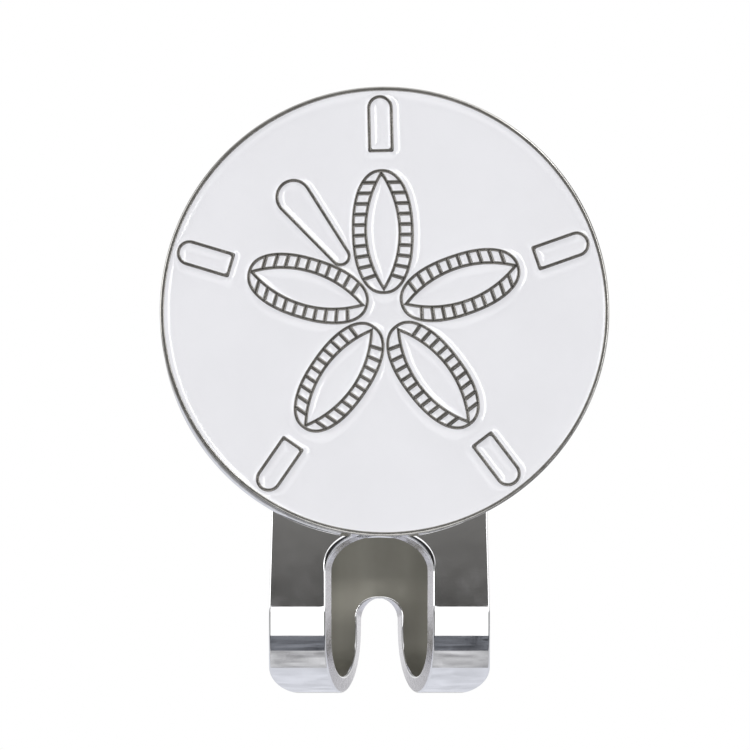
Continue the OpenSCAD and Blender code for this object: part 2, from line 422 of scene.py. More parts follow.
def wound_outwards(verts, faces, normals):
    """The same faces, turned so that each faces the way its corners' normals point."""
    turned = []
    for face in faces:
        a, b, c = verts[face[0]], verts[face[1]], verts[face[2]]
        flat = np.cross(b - a, c - a)
        turned.append(face if flat @ normals[list(face)].sum(axis=0) > 0 else face[::-1])
    return turned


def right_of(along):
    """Unit vectors that point to the right of flat directions."""
    side = np.column_stack([along[:, 1], -along[:, 0]])
    return side / np.linalg.norm(side, axis=1)[:, None]


def outward(loop):
    """Unit vectors that point out of a closed loop that runs anticlockwise."""
    return right_of(np.roll(loop, -1, axis=0) - np.roll(loop, 1, axis=0))


def spaced(loop, step, closed=True):
    """Points at an even step along a line of points."""
    points = np.vstack([loop, loop[:1]]) if closed else np.asarray(loop)
    runs = np.concatenate([[0], np.cumsum(np.linalg.norm(np.diff(points, axis=0), axis=1))])
    count = max(3, math.ceil(runs[-1] / step))
    at = np.linspace(0, runs[-1], count + 1)
    if closed:
        at = at[:-1]
    return np.column_stack([np.interp(at, runs, points[:, 0]), np.interp(at, runs, points[:, 1])])


def inside(points, loop):
    """Which points lie inside a closed loop."""
    ends = np.roll(loop, -1, axis=0)
    found = np.zeros(len(points), bool)
    for (ax, ay), (bx, by) in zip(loop, ends):
        if ay == by:
            continue
        crosses = (points[:, 1] > ay) != (points[:, 1] > by)
        found ^= crosses & (points[:, 0] < (bx - ax) * (points[:, 1] - ay) / (by - ay) + ax)
    return found


def triangulate(points, loops, keep):
    """Triangles over points that respect closed loops of indices; keep picks them by their centres."""
    corners = [Vector((x / MM, y / MM)) for x, y in points]
    edges = [(loop[i - 1], loop[i]) for loop in loops for i in range(len(loop))]
    made, _, faces, sources = delaunay_2d_cdt(corners, edges, [], 0, CDT_NEAREST)[:4]
    places = np.array([(v.x, v.y) for v in made]) * MM
    faces = np.array([f for f in faces if len(f) == 3])
    return places, faces[keep(places[faces].mean(axis=1))], sources


def lattice(low, high, step):
    """Staggered rows of points over a box."""
    rows = np.arange(low[1], high[1], step * ROW_SPACING)
    columns = np.arange(low[0], high[0], step)
    return np.array([(x + (j % 2) * step / 2, y) for j, y in enumerate(rows) for x in columns])


def turned_profile(profile, segments):
    """Vertices and faces of a profile of (radius, height) points turned about the height axis."""
    verts, rings = [], []
    for radius, height in profile:
        if radius < AXIS_NEAREST:
            rings.append([len(verts)])
            verts.append((0, 0, height))
            continue
        rings.append(list(range(len(verts), len(verts) + segments)))
        for i in range(segments):
            turn = FULL_TURN * i / segments
            verts.append((radius * math.cos(turn), radius * math.sin(turn), height))
    faces = []
    for low, high in zip(rings, rings[1:]):
        for i in range(segments):
            j = (i + 1) % segments
            corners = [low[i % len(low)], low[j % len(low)], high[j % len(high)], high[i % len(high)]]
            faces.append(list(dict.fromkeys(corners)))
    return np.array(verts), faces


def rounded(centre, radius, start, end, steps):
    """Points of an arc, from one direction in degrees to another."""
    turns = [math.radians(start + (end - start) * i / steps) for i in range(steps + 1)]
    return [(centre[0] + radius * math.cos(t), centre[1] + radius * math.sin(t)) for t in turns]


def facing_front(verts, centre, turn=0.0):
    """From a round piece's own axes, z out of its face, to the frame, where it faces -Y."""
    x = verts[:, 0] * math.cos(turn) - verts[:, 1] * math.sin(turn)
    y = verts[:, 0] * math.sin(turn) + verts[:, 1] * math.cos(turn)
    return np.column_stack([centre[0] + x, centre[1] - verts[:, 2], centre[2] + y])


def face_outwards(piece):
    """Turns the faces of the piece's closed bodies outwards."""
    work = bmesh.new()
    work.from_mesh(piece.data)
    bmesh.ops.recalc_face_normals(work, faces=work.faces)
    work.to_mesh(piece.data)
    work.free()


def turned_piece(name, profile, segments, back_y, slot, node, sharp=None):
    """A round piece on the seat's axis, its profile measured from the plane at back_y."""
    verts, faces = turned_profile(profile, segments)
    piece = new_piece(
        name, facing_front(verts, (0, back_y, SEAT_CENTRE_Z)), faces, slot, [node], sharp=sharp)
    face_outwards(piece)
    return piece


# ---------------------------------------------------------------- the clip

class SheetPath:
    """The middle of the bent sheet. s runs along it from the start of the bend, up the front as s < 0."""

    def __init__(self, clip):
        self.radius = BEND_RADIUS - clip.sheet / 2
        self.lean = clip.back_lean
        self.bend_end = (math.pi + self.lean) * self.radius
        self.flare_at = self.bend_end + clip.back_length
        self.flare_radius = clip.flare_radius
        self.end = self.flare_at + clip.flare_turn * clip.flare_radius

    def middle(self, s):
        """y, z and the direction of the outer face's normal at s."""
        turn = np.clip(s, 0, self.bend_end) / self.radius
        run = np.clip(s, self.bend_end, self.flare_at) - self.bend_end
        flare = np.clip(s - self.flare_at, 0, None) / self.flare_radius
        a = self.lean
        flare_y = self.flare_radius * (math.cos(a) - np.cos(a - flare))
        flare_z = self.flare_radius * (math.sin(a) - np.sin(a - flare))
        y = -self.radius * np.cos(turn) - run * math.sin(a) + flare_y
        z = -self.radius * np.sin(turn) + run * math.cos(a) + flare_z
        return y, z - np.clip(s, None, 0), math.pi + turn - flare

    def place(self, s, x, out):
        """Points at s along the sheet and x across it, out from its middle towards its outer face."""
        y, z, normal = self.middle(s)
        return np.column_stack([x, y + out * np.cos(normal), z + out * np.sin(normal)])

    def direction(self, s, along, across, out):
        """A direction in the sheet's own axes as one in the frame."""
        normal = self.middle(s)[2]
        y = -along * np.sin(normal) + out * np.cos(normal)
        z = along * np.cos(normal) + out * np.sin(normal)
        return np.column_stack([across, y, z])


def eased(value, low, high):
    """From 0 at low to 1 at high, with a soft start and end."""
    u = np.clip((value - low) / (high - low), 0, 1)
    return u * u * (3 - 2 * u)


def softened(value, width):
    """Nothing below zero and the value above it, with a soft turn between."""
    return (value + np.sqrt(value * value + width * width)) / 2


def mirrored(half):
    """A closed loop from its half at x > 0, which starts and ends on the middle line."""
    other = half[-2:0:-1] * (1, -1)
    return np.vstack([half, other])


# Along the sheet, from the start of the bend
SHEET_TOP = -5.95 * MM          # the sheet ends here, inside the seat
LEG_TOP_AT = 4.7 * MM           # the front leg is down to its top width this far up
LEG_NARROWS = 3.6 * MM, 8.6 * MM        # between these the sheet narrows to the back leg
ARCH_AT = -1.9 * MM             # the slot's arch springs from here
ARCH_HEIGHT = 2.1 * MM
SLOT_NARROWS = 2.0 * MM, 12.7 * MM      # between these the slot narrows
SLOT_END_AT = 13.5 * MM         # middle of the slot's round end
SLOT_END_RADIUS = 1.15 * MM
SLOT_TURN = math.radians(150)   # the slot's wall leans the other way at its round end

LEG_TURN = 0.8 * MM             # softness of the front leg's change of width
EDGE_STEPS = 6                  # steps round each rounded edge
ROW_GAP = 0.22 * MM             # between the sheet's rows of points
COLUMN_GAP = 0.62 * MM          # and between the points of a row
EDGE_GAP = 0.3 * MM             # rows and columns start this far in
SHORE_GAP = 0.12 * MM           # and keep this far from the outlines


def slot_half(clip):
    """The slot's outline at x >= 0, from the arch's top to the round end: (s, x) points."""
    arch = [(ARCH_AT - ARCH_HEIGHT * math.sin(t), clip.slot_half_width * math.cos(t))
            for t in np.linspace(math.pi / 2, 0, 28)]
    s = np.linspace(ARCH_AT, SLOT_END_AT, 60)[1:-1]
    narrowing = clip.slot_half_width - SLOT_END_RADIUS
    sides = np.column_stack([s, clip.slot_half_width - narrowing * eased(s, *SLOT_NARROWS)])
    turns = np.linspace(0, math.pi / 2, 18)
    end = np.column_stack([
        SLOT_END_AT + SLOT_END_RADIUS * np.sin(turns), SLOT_END_RADIUS * np.cos(turns)])
    half = np.vstack([arch, sides, end])
    half[[0, -1], 1] = 0
    return half


def slot_slant(clip, s, across):
    """How fast the slot's wall leans, per height over the sheet's middle."""
    turn = SLOT_TURN * np.clip(s / (SLOT_END_AT + SLOT_END_RADIUS), 0, 1)
    lean = clip.slot_flare * np.cos(turn) / (clip.sheet / 2)
    return lean * np.where(s < 0, 1, np.abs(across))


def strip_half(clip, path):
    """The sheet's outline at x >= 0, from its top to the middle of its tip."""
    x = np.linspace(0, clip.leg_top_half_width - EDGE_GAP, 8)
    top = np.column_stack([np.full_like(x, SHEET_TOP), x])
    s = np.arange(SHEET_TOP + EDGE_GAP, path.end - clip.tip_round, ROW_GAP)
    rise = np.minimum(softened(-s, LEG_TURN) / LEG_TOP_AT, 1)
    width = clip.leg_half_width + (clip.leg_top_half_width - clip.leg_half_width) * rise
    width = width + (clip.back_half_width - clip.leg_half_width) * eased(s, *LEG_NARROWS)
    turns = np.linspace(0, math.pi / 2, 28)
    tip = np.column_stack([
        path.end - clip.tip_round + clip.tip_round * np.sin(turns), clip.back_half_width * np.cos(turns)])
    half = np.vstack([top, np.column_stack([s, width]), tip])
    half[-1, 1] = 0
    return half


def edge_profile(sheet, outer, inner, slant):
    """Rounded edge from the outer face round to the inner one: for each step the distance into the
    metal, the height over the middle, and the normal's two parts, one row per point of the outline."""
    lean = np.arctan(slant)
    rows = []
    for sign, radius, start, end in ((1, outer, np.full_like(lean, math.pi / 2), math.pi - lean),
                                     (-1, inner, math.pi - lean, np.full_like(lean, 1.5 * math.pi))):
        rise = sheet / 2 - radius
        into = sign * slant * rise + radius * np.sqrt(1 + slant * slant)
        for i in range(EDGE_STEPS + 1):
            turn = start + (end - start) * i / EDGE_STEPS
            rows.append((into + radius * np.cos(turn), sign * rise + radius * np.sin(turn),
                         np.cos(turn), np.sin(turn)))
    return rows


def sheet_mesh(clip, path):
    """The bent sheet with its slot: two faces and a rounded wall round each outline."""
    slot = mirrored(slot_half(clip))
    strip = mirrored(strip_half(clip, path))
    parts, normals, faces, walls = [], [], [], []
    count = 0
    for loop, sign, radius in ((strip, -1, clip.outer_edge), (slot, 1, clip.slot_edge)):
        into = outward(loop)
        middle = loop.mean(axis=0)
        if np.mean(np.sum(into * (loop - middle), axis=1)) < 0:
            into = -into
        into = into * sign
        slant = slot_slant(clip, loop[:, 0], into[:, 1]) if sign > 0 else np.zeros(len(loop))
        # The slot's outer lip is drawn in most at the shoulders of its arch
        shoulder = 2 * np.abs(into[:, 0] * into[:, 1]) * eased(-loop[:, 0], 0, -ARCH_AT)
        roll = clip.slot_roll * shoulder if sign > 0 else 0
        profile = edge_profile(clip.sheet, radius + roll, radius, slant)
        rings = []
        for distance, height, across, out in profile:
            spot = loop + into * distance[:, None]
            parts.append(path.place(spot[:, 0], spot[:, 1], height))
            normals.append(path.direction(spot[:, 0], across * into[:, 0], across * into[:, 1], out))
            rings.append((np.arange(count, count + len(loop)), spot))
            count += len(loop)
        for k, ((low, _), (high, _)) in enumerate(zip(rings, rings[1:])):
            if k == EDGE_STEPS - 1:
                sheared_from = len(faces)
            faces += [(low[i - 1], low[i], high[i], high[i - 1]) for i in range(len(low))]
            if k == EDGE_STEPS + 1:
                sheared_to = len(faces)
        walls.append(rings)
    low, high = strip.min(axis=0), strip.max(axis=0)
    grid = np.array([(s, x) for s in np.arange(low[0], high[0], ROW_GAP)
                     for x in np.arange(low[1] + EDGE_GAP, high[1], COLUMN_GAP)])
    for out, ring in ((1, 0), (-1, -1)):
        inner_from = len(faces)
        edge, hole = walls[0][ring], walls[1][ring]
        shore = kd_of(np.vstack([edge[1], hole[1]]))
        free = grid[inside(grid, edge[1]) & ~inside(grid, hole[1])]
        free = free[distances(shore, free) > SHORE_GAP]
        flat = np.vstack([edge[1], hole[1], free])
        numbers = np.concatenate([edge[0], hole[0], np.arange(count, count + len(free))])
        loops = [range(len(edge[1])), range(len(edge[1]), len(edge[1]) + len(hole[1]))]
        _, triangles, sources = triangulate(
            flat, loops, lambda p: inside(p, edge[1]) & ~inside(p, hole[1]))
        faces += [tuple(int(numbers[sources[v][0]]) for v in t) for t in triangles]
        parts.append(path.place(free[:, 0], free[:, 1], np.full(len(free), out * clip.sheet / 2)))
        zero = np.zeros(len(free))
        normals.append(path.direction(free[:, 0], zero, zero, np.full(len(free), out)))
        count += len(free)
    verts, normals = np.vstack(parts), np.vstack(normals)
    normals /= np.linalg.norm(normals, axis=1)[:, None]
    finishes = [("clip_edge", sheared_from, sheared_to), ("clip_inside", inner_from, len(faces))]
    return verts, wound_outwards(verts, faces, normals), normals, finishes


def kd_of(points):
    """A search tree of flat points."""
    tree = kdtree.KDTree(len(points))
    for i, (x, y) in enumerate(points):
        tree.insert((x, y, 0), i)
    tree.balance()
    return tree


def distances(tree, points):
    """How far each point is from the nearest one in the tree."""
    return np.array([tree.find((x, y, 0))[2] for x, y in points])


SEAT_SKIN = 0.02 * MM           # the seat's back stands this far over the leg's
POCKET_PLAY = 0.05 * MM         # round the magnet
HOLD = 0.1 * MM                 # a ring this far from a rounding keeps the flat beside it flat
NOTCH_PAST_ARCH = 0.6 * MM      # the notch's cutter runs this far down the slot's sides
NOTCH_REACH = -0.8 * MM, 1.8 * MM       # and from inside the sheet's middle to outside it


def leg_back_y(clip):
    """Where the back face of the front leg is."""
    return -BEND_RADIUS + clip.sheet


def seat_profile(clip):
    """Half of the seat's section: (radius, height over its back), with the magnet's pocket."""
    back = -SEAT_SKIN
    front = leg_back_y(clip) - SEAT_FRONT_Y
    pocket_radius = MAGNET_RADIUS + POCKET_PLAY
    pocket_floor = leg_back_y(clip) - GLUE_HIGH.y
    edge, back_edge, lip = clip.seat_edge, 0.12 * MM, 0.08 * MM
    r = SEAT_RADIUS
    points = [(0, back), (r - edge - HOLD, back)]
    points += rounded((r - back_edge, back + back_edge), back_edge, -90, 0, 5)
    points += rounded((r - edge, front - edge), edge, 0, 90, 9)
    points += [(r - edge - 2 * HOLD, front), (pocket_radius + lip + HOLD, front)]
    points += rounded((pocket_radius + lip, front - lip), lip, 90, 180, 4)
    points += [(pocket_radius, pocket_floor), (0, pocket_floor)]
    return points


def notch_cutter(clip, path):
    """A closed body in the slot's shape, over the arch only, that notches the seat's edge."""
    half = slot_half(clip)
    arch = half[half[:, 0] < ARCH_AT + NOTCH_PAST_ARCH]
    rounds = np.vstack([arch[::-1] * (1, -1), arch[1:]])
    into = right_of(np.gradient(rounds, axis=0))
    if into[len(into) // 2][0] > 0:
        into = -into
    slant = clip.slot_flare / (clip.sheet / 2)
    verts, faces, n = [], [], len(rounds)
    for out in NOTCH_REACH:
        spot = rounds + into * slant * out
        verts.append(path.place(spot[:, 0], spot[:, 1], np.full(n, out)))
    for i in range(n):
        j = (i + 1) % n
        faces.append((i, j, n + j, n + i))
    faces += [tuple(range(n))[::-1], tuple(range(n, 2 * n))]
    return np.vstack(verts), faces


def cut(piece, verts, faces):
    """Takes a closed body away from a piece."""
    cutter = mesh_object("cutter", verts, faces)
    face_outwards(cutter)
    mesh = cutter.data
    modifier = piece.modifiers.new("cut", "BOOLEAN")
    modifier.object = cutter
    modifier.solver = "EXACT"
    apply_modifiers(piece)
    bpy.data.objects.remove(cutter)
    bpy.data.meshes.remove(mesh)


def apply_modifiers(piece):
    """Gives the piece the mesh that its modifiers make."""
    shown = piece.evaluated_get(bpy.context.evaluated_depsgraph_get())
    mesh = bpy.data.meshes.new_from_object(shown)
    old = piece.data
    piece.modifiers.clear()
    piece.data = mesh
    bpy.data.meshes.remove(old)


class MARKER_OT_clip(bpy.types.Operator):
    """Build the bent chrome sheet and the round seat on it"""

    bl_idname = "marker.clip"
    bl_label = "Clip"

    def execute(self, context):
        clip = context.scene.marker_clip
        path = SheetPath(clip)
        verts, faces, normals, finishes = sheet_mesh(clip, path)
        sheet = new_piece(
            "clip_sheet", verts, faces, "clip_chrome", ["clip_front", "clip_back"], normals,
            more=finishes)
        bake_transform(sheet)

        seat = turned_piece(
            "clip_seat", seat_profile(clip), 256, leg_back_y(clip), "clip_chrome", "clip_front")
        cut(seat, *notch_cutter(clip, path))
        seat.data.shade_smooth()
        seat.data.set_sharp_from_angle(angle=math.radians(30))
        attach(seat, "clip")
        return {"FINISHED"}


# ---------------------------------------------------------------- the magnet

class MARKER_OT_magnet(bpy.types.Operator):
    """Build the disc magnet with its chamfered edges, and the glue under it"""

    bl_idname = "marker.magnet"
    bl_label = "Magnet"

    def execute(self, context):
        radius, bevel = MAGNET_RADIUS, 0.15 * MM
        thickness = MAGNET_HIGH.y - MAGNET_LOW.y
        side = [(0, 0), (radius - bevel - HOLD, 0)]
        side += rounded((radius - bevel, bevel), bevel, -90, 0, 6)
        side += rounded((radius - bevel, thickness - bevel), bevel, 0, 90, 6)
        side += [(radius - bevel - HOLD, thickness), (0, thickness)]
        sharp = math.radians(40)
        magnet = turned_piece(
            "magnet_disc", side, 128, MAGNET_HIGH.y, "magnet_plating", "magnet", sharp)
        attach(magnet, "clip")

        depth, bead_edge = GLUE_HIGH.y - GLUE_LOW.y, 0.02 * MM
        bead = [(0, 0), (radius, 0)]
        bead += rounded((radius - bead_edge, depth), bead_edge, 0, 90, 3)
        bead += [(radius - 2 * HOLD, depth), (0, depth)]
        glue = turned_piece("glue_bed", bead, 96, GLUE_HIGH.y, "clear_glue", "magnet_glue", sharp)
        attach(glue, "clip")
        return {"FINISHED"}


# ---------------------------------------------------------------- the coin's design

LEAF_SHIFT = 0.05 * MM          # the leaf's middle, out from the petal's
BARS_SHIFT = 0.1 * MM           # the bars' middle, out from the petal's
BAY_CORNER = 0.12 * MM
DROP_INNER = 3.93 * MM, 0.48 * MM       # distance of the drop's small end, and its radius
DROP_OUTER = 8.12 * MM, 0.93 * MM       # the same for its large end
LOOP_STEP = 0.08 * MM           # between the points of an outline
BAY_STEP = 0.07 * MM            # of a bay's outline
LEAF_STEP = 0.1 * MM            # and of a leaf's raised line
BAR_REACH = 0.75 * MM           # a bar is looked for this far from its middle
BAR_STEPS = 301                 # in this many steps
BAR_LEAN = 0.7                  # how much of the petal's curve the inner bars lean with
RIDGE_CORNER = 0.28             # rounding of a raised line's top, per width
RIDGE_FOOT = 1.15               # width of its foot, per width
RIDGE_ROOT = 0.03 * MM          # the raised lines start this far under the struck floor


def turned(points, turn):
    """Points turned about the coin's middle."""
    c, s = math.cos(turn), math.sin(turn)
    return np.column_stack([points[:, 0] * c - points[:, 1] * s, points[:, 0] * s + points[:, 1] * c])


def ray(i):
    """Direction of a petal from the first one."""
    return FULL_TURN * i / PETALS


# Each loop below is the outline's middle line, moved outwards by grow
def petal_loop(coin, grow=0.0):
    a, b = coin.petal_half_width + grow, coin.petal_half_length + grow
    turns = np.linspace(0, FULL_TURN, 720, endpoint=False)
    power = 2 / coin.petal_power
    x = a * np.sign(np.cos(turns)) * np.abs(np.cos(turns)) ** power
    y = b * np.sign(np.sin(turns)) * np.abs(np.sin(turns)) ** power
    return spaced(np.column_stack([x, coin.petal_at + y]), LOOP_STEP)


def leaf_side(coin, side, grow=0.0):
    """One side of the leaf, an arc from its inner point to its outer one."""
    w, h = coin.leaf_half_width, coin.leaf_half_length
    radius = (w * w + h * h) / (2 * w)
    middle = radius - w
    reach = math.acos(middle / (radius + grow))
    turns = np.linspace(-reach, reach, 90)
    x = side * ((radius + grow) * np.cos(turns) - middle)
    y = (radius + grow) * np.sin(turns)
    return np.column_stack([x, coin.petal_at + LEAF_SHIFT + y])


def leaf_loop(coin, grow=0.0):
    return np.vstack([leaf_side(coin, 1, grow)[:-1], leaf_side(coin, -1, grow)[::-1][:-1]])


def bay_loop(coin, grow=0.0):
    r = coin.bay_width / 2 + grow
    low, corner = coin.bay_from - grow, BAY_CORNER
    top = coin.bay_to - coin.bay_width / 2
    points = rounded((r - corner, low + corner), corner, -90, 0, 4)
    points += rounded((0, top), r, 0, 180, 36)
    points += rounded((corner - r, low + corner), corner, 180, 270, 4)
    return spaced(np.array(points), BAY_STEP)


def drop_loop(coin, grow=0.0):
    (low, a), (high, b) = DROP_INNER, DROP_OUTER
    tilt = math.degrees(math.asin((b - a) / (high - low)))
    points = rounded((0, high), b + grow, -tilt, 180 + tilt, 36)
    points += rounded((0, low), a + grow, 180 + tilt, 360 - tilt, 24)
    return spaced(turned(np.array(points), coin.drop_turn), LOOP_STEP)


def bar_frames(coin):
    """Middle and direction of each bar of a petal's border."""
    mid = (coin.petal_half_width + coin.leaf_half_width) / 2
    frames = []
    for side in (-1, 1):
        for k in range(coin.bars):
            v = (k - (coin.bars - 1) / 2) * coin.bar_pitch
            sine = v / coin.petal_half_length
            cosine = math.sqrt(1 - sine * sine)
            slope = mid * sine / (coin.petal_half_length * cosine)
            lean = BAR_LEAN * math.atan(slope) if v < 0 else 0.0
            centre = np.array((side * mid * cosine, coin.petal_at + BARS_SHIFT + v))
            frames.append((centre, np.array((math.cos(lean), side * math.sin(lean)))))
    return frames


def bar_box(coin, centre, along):
    """A bar's outline, long enough to cross the border from line to line."""
    across = np.array((-along[1], along[0]))
    half_width = 0.5 * coin.bar_width
    box = [centre + along * BAR_REACH * u + across * half_width * v
           for u, v in ((-1, -1), (1, -1), (1, 1), (-1, 1))]
    return spaced(np.array(box), LOOP_STEP)


def bar_line(coin, centre, along):
    """A bar's middle line, from the leaf's line to the petal's."""
    petal, leaf = petal_loop(coin), leaf_loop(coin)
    steps = np.linspace(-BAR_REACH, BAR_REACH, BAR_STEPS)
    points = centre + steps[:, None] * along
    held = inside(points, petal) & ~inside(points, leaf)
    low = high = BAR_STEPS // 2
    while held[low - 1] and low > 1:
        low -= 1
    while held[high + 1] and high < BAR_STEPS - 2:
        high += 1
    return np.linspace(points[low], points[high], 5)


def ridge(line, closed, width, floor, top):
    """A raised line with a flat top and rounded corners, struck along a line of points."""
    half, corner = width / 2, RIDGE_CORNER * width
    section = [(-RIDGE_FOOT * half, floor)]
    section += rounded((corner - half, top - corner), corner, 180, 90, 4)
    section += rounded((half - corner, top - corner), corner, 90, 0, 4)
    section.append((RIDGE_FOOT * half, floor))
    side = outward(line) if closed else right_of(np.gradient(line, axis=0))
    n, m = len(line), len(section)
    verts = np.vstack([np.column_stack([line + side * x, np.full(n, z)]) for x, z in section])
    faces = []
    for k in range(m - 1):
        for i in range(n if closed else n - 1):
            j = (i + 1) % n
            faces.append((k * n + i, k * n + j, (k + 1) * n + j, (k + 1) * n + i))
    if not closed:
        faces.append(tuple(k * n for k in range(m)))
        faces.append(tuple(k * n + n - 1 for k in reversed(range(m))))
    return verts, faces


def blank_profile():
    """Half of the coin's section: flat back, rounded edges, raised rim and struck floor."""
    r, t = COIN_RADIUS, COIN_THICKNESS
    back, outer, inner = 0.15 * MM, 0.09 * MM, 0.04 * MM    # its three roundings
    points = [(0, 0), (r - 0.4 * MM, 0)]
    points += rounded((r - back, back), back, -90, 0, 5)
    points += rounded((r - outer, t - outer), outer, 0, 90, 7)
    points += rounded((r - RIM_WIDTH + inner, t - inner), inner, 90, 180, 6)
    points += [(r - RIM_WIDTH, COIN_FLOOR), (0, COIN_FLOOR)]
    return points


class MARKER_OT_coin_metal(bpy.types.Operator):
    """Build the struck blank of the coin with its rim and raised lines"""

    bl_idname = "marker.coin_metal"
    bl_label = "Coin's metal"

    def execute(self, context):
        coin = context.scene.marker_coin
        bodies = [turned_profile(blank_profile(), 288)]
        blank_faces = len(bodies[0][1])

        def strike(line, closed, width=coin.line_width):
            bodies.append(ridge(line, closed, width, COIN_FLOOR - RIDGE_ROOT, COIN_THICKNESS))

        for i in range(PETALS):
            strike(turned(petal_loop(coin), ray(i)), True)
            strike(turned(bay_loop(coin), ray(i)), True)
            for side in (-1, 1):
                strike(turned(spaced(leaf_side(coin, side), LEAF_STEP, closed=False), ray(i)), False)
            for centre, along in bar_frames(coin):
                strike(turned(bar_line(coin, centre, along), ray(i)), False, coin.bar_width)
        strike(drop_loop(coin), True)

        places, all_faces, count = [], [], 0
        for body_verts, body_faces in bodies:
            places.append(body_verts)
            all_faces += [tuple(v + count for v in face) for face in body_faces]
            count += len(body_verts)
        metal = new_piece(
            "coin_metal", facing_front(np.vstack(places), COIN_CENTRE, coin.turn), all_faces,
            "coin_nickel", ["coin_blank"], sharp=math.radians(50), more=[("coin_rim", 0, blank_faces)])
        face_outwards(metal)
        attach(metal, "coin")
        return {"FINISHED"}


# ---------------------------------------------------------------- the enamel

# Rings of points follow the shores at these distances, in millimetres
RING_STEPS = 0.02, 0.05, 0.09, 0.14, 0.2, 0.28, 0.38, 0.5, 0.66
SPARSE_RINGS = 6                # from this ring out, each takes every other point
RING_ROOM = 0.93                # a ring keeps this much of its distance from every shore
GRID_STEP = 0.5 * MM            # the level middle has a lattice of points
GRID_ROOM = 0.85 * MM           # that keeps this far from the shores
NEAREST = 0.03 * MM             # points closer than this are thinned out
SHORE_STEP = 0.02 * MM          # step of the points from which distances are measured


def poured(coin, shores, keep):
    """Enamel between closed shores: it climbs against the metal and is level away from it."""
    tree = kd_of(np.vstack([spaced(shore, SHORE_STEP) for shore in shores]))
    points, loops, count = [], [], 0
    for shore in shores:
        points.append(shore)
        loops.append(range(count, count + len(shore)))
        count += len(shore)
    free = []
    for shore in shores:
        side = outward(shore)
        for k, step in enumerate(RING_STEPS):
            every = 2 if k >= SPARSE_RINGS else 1
            for sign in (-1, 1):
                ring = shore[::every] + sign * step * MM * side[::every]
                ring = ring[keep(ring)]
                free.append(ring[distances(tree, ring) > RING_ROOM * step * MM])
    bounds = np.vstack(shores)
    grid = lattice(bounds.min(axis=0), bounds.max(axis=0), GRID_STEP)
    grid = grid[keep(grid)]
    free.append(grid[distances(tree, grid) > GRID_ROOM])
    free = thinned(np.vstack(free), NEAREST)
    places, faces, _ = triangulate(np.vstack(points + [free]), loops, keep)
    used = np.unique(faces)
    renumber = np.zeros(len(places), int)
    renumber[used] = np.arange(len(used))
    places, faces = places[used], renumber[faces]
    depth = np.exp(-distances(tree, places) / coin.reach)
    verts = np.column_stack([places, ENAMEL_LEVEL + coin.rise * depth])
    return skirted(verts, [tuple(int(v) for v in f) for f in faces])


def thinned(points, gap):
    """Leaves out points closer than the gap to one already kept."""
    seen, kept = set(), []
    for x, y in points:
        cell = (round(x / gap), round(y / gap))
        if cell not in seen:
            seen.add(cell)
            kept.append((x, y))
    return np.array(kept)


def skirted(verts, faces):
    """Closes the sides of a surface down to the struck floor."""
    edges = {}
    for face in faces:
        for a, b in zip(face, face[1:] + face[:1]):
            if (b, a) in edges:
                del edges[(b, a)]
            else:
                edges[(a, b)] = True
    rim = sorted({v for edge in edges for v in edge})
    below = {v: len(verts) + i for i, v in enumerate(rim)}
    foot = verts[rim].copy()
    foot[:, 2] = COIN_FLOOR
    faces = faces + [(b, a, below[a], below[b]) for a, b in edges]
    return np.vstack([verts, foot]), faces


class MARKER_OT_enamel(bpy.types.Operator):
    """Pour the enamel of the field, the drop, the leaves, the borders and the bays"""

    bl_idname = "marker.enamel"
    bl_label = "Enamel"

    def pour(self, name, node, shores, keep):
        """One pool of enamel between its shores."""
        coin = bpy.context.scene.marker_coin
        verts, faces = poured(coin, shores, keep)
        piece = new_piece(
            name, facing_front(verts, COIN_CENTRE, coin.turn), faces, "white_enamel", [node],
            sharp=math.radians(60))
        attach(piece, "coin")

    def execute(self, context):
        coin = context.scene.marker_coin
        half = coin.line_width / 2
        holes = [turned(loop, ray(i)) for i in range(PETALS)
                 for loop in (petal_loop(coin, half), bay_loop(coin, half))]
        holes.append(drop_loop(coin, half))
        turns = np.linspace(0, FULL_TURN, 560, endpoint=False)
        shore_radius = COIN_RADIUS - RIM_WIDTH
        rim = shore_radius * np.column_stack([np.cos(turns), np.sin(turns)])

        def in_field(points):
            held = np.hypot(points[:, 0], points[:, 1]) < shore_radius
            for hole in holes:
                held &= ~inside(points, hole)
            return held

        self.pour("enamel_field_pour", "enamel_field", [rim] + holes, in_field)
        drop = drop_loop(coin, -half)
        self.pour("enamel_drop_pour", "enamel_drop_cell", [drop], lambda p: inside(p, drop))
        for i in range(PETALS):
            self.pour_petal(coin, i, half)
        return {"FINISHED"}

    def pour_petal(self, coin, i, half):
        """The leaf, the bay and the barred border of one petal."""
        leaf = turned(spaced(leaf_loop(coin, -half), LOOP_STEP), ray(i))
        bay = turned(bay_loop(coin, -half), ray(i))
        petal = turned(petal_loop(coin, -half), ray(i))
        leaf_outside = turned(spaced(leaf_loop(coin, half), LOOP_STEP), ray(i))
        bars = [turned(bar_box(coin, *bar), ray(i)) for bar in bar_frames(coin)]

        def in_border(points):
            held = inside(points, petal) & ~inside(points, leaf_outside)
            for bar in bars:
                held &= ~inside(points, bar)
            return held

        for part, shores, keep in (
                ("leaf", [leaf], lambda p: inside(p, leaf)),
                ("bay", [bay], lambda p: inside(p, bay)),
                ("border", [petal, leaf_outside] + bars, in_border)):
            self.pour(f"enamel_{part}_pour_{i + 1}", f"enamel_{part}_{i + 1}", shores, keep)


# ---------------------------------------------------------------- the stage

SQUEEZE = 24                    # how much the bend's reflection squeezes a low card front to back
MOTTLE_LOW, MOTTLE_HIGH = 0.4, 0.62     # a mottled card turns from one glow to the other here
FLOOR_HALF = 2.5                # half the floor's width
LIGHTS_AIM = 0, 0, 0.012
